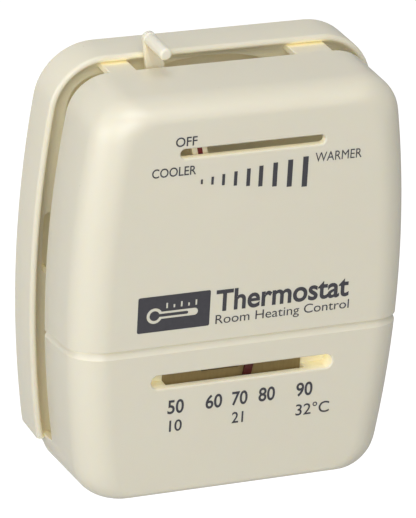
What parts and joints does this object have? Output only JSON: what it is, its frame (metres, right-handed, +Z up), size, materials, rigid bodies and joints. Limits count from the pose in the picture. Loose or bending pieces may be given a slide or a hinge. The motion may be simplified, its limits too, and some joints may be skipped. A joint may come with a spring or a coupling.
{
  "type": "wall thermostat",
  "caption": "Wall thermostat with a bowed base, clip-on cover, top set lever over a bimetal coil switch, and a pointer thermometer behind a window.",
  "frame": {"origin": "centre of the base's back face, which lies on the wall", "axes": "+Y into the wall, -Y towards the room, +Z up, +X to the right as seen from the room"},
  "size_m": [0.096, 0.0414, 0.1238],
  "materials": {
    "cream_abs": "satin moulded ABS, cream",
    "nylon_cream": "moulded nylon, cream",
    "signal_red": "red paint",
    "zinc_steel": "zinc-plated steel",
    "spring_steel": "spring steel",
    "brass": "turned and stamped brass",
    "bimetal": "bimetal strip",
    "silver": "silver contact",
    "phenolic": "phenolic board",
    "ferrite": "magnet alloy",
    "resistance_wire": "resistance wire on a card",
    "lead_red": "insulated wire, red",
    "lead_white": "insulated wire, white",
    "aluminium": "stamped aluminium"
  },
  "bodies": {
    "base": {"wall_base": "cream_abs", "mechanism_frame": "zinc_steel", "frame_screws": "zinc_steel", "pivot_stud": "brass", "friction_washer": "spring_steel", "hub_washer": "zinc_steel", "retaining_clip": "spring_steel", "insulating_block": "phenolic", "contact_bracket": "brass", "bracket_screw": "zinc_steel", "calibration_screw": "brass", "fixed_contact": "silver", "contact_magnet": "ferrite", "anticipator_board": "phenolic", "anticipator_winding": "resistance_wire", "anticipator_rivet": "zinc_steel", "terminal_block": "phenolic", "terminal_plate_r": "brass", "terminal_plate_w": "brass", "terminal_screws": "zinc_steel", "lead_red": "lead_red", "lead_white": "lead_white"},
    "lever": {"set_lever": "nylon_cream", "indicator_stripe": "signal_red", "coil_clamp": "brass", "bimetal_coil": "bimetal"},
    "contact": {"contact_arm": "bimetal", "moving_contact": "silver", "armature": "zinc_steel"},
    "anticipator": {"anticipator_arm": "brass"},
    "cover": {"front_cover": "cream_abs", "arbor_bracket": "aluminium", "bracket_rivets": "aluminium", "thermometer_arbor": "brass", "arbor_cap": "brass"},
    "pointer": {"thermometer_pointer": "signal_red", "thermometer_coil": "bimetal"}
  },
  "joints": [
    {"name": "lever_turn", "type": "hinge", "parent": "base", "child": "lever", "pos_m": [0, -0.016, -0.02], "axis": [0, 1, 0], "range_deg": [-2.2, 25], "deforming": ["bimetal_coil"]},
    {"name": "contact_swing", "type": "hinge", "parent": "base", "child": "contact", "pos_m": [0, -0.02, -0.02], "axis": [0, 1, 0], "range_deg": [-3, 2], "stiffness_Nm_per_rad": 0.002},
    {"name": "anticipator_set", "type": "hinge", "parent": "base", "child": "anticipator", "pos_m": [0.019, -0.011, -0.007], "axis": [0, 1, 0], "range_deg": [-45, 45]},
    {"name": "cover_pull", "type": "slide", "parent": "base", "child": "cover", "axis": [0, -1, 0], "range_m": [0, 0.05]},
    {"name": "pointer_turn", "type": "hinge", "parent": "cover", "child": "pointer", "pos_m": [0, -0.035, -0.0377], "axis": [0, 1, 0], "range_deg": [-56, 34], "stiffness_Nm_per_rad": 0.0005, "deforming": ["thermometer_coil"]}
  ]
}
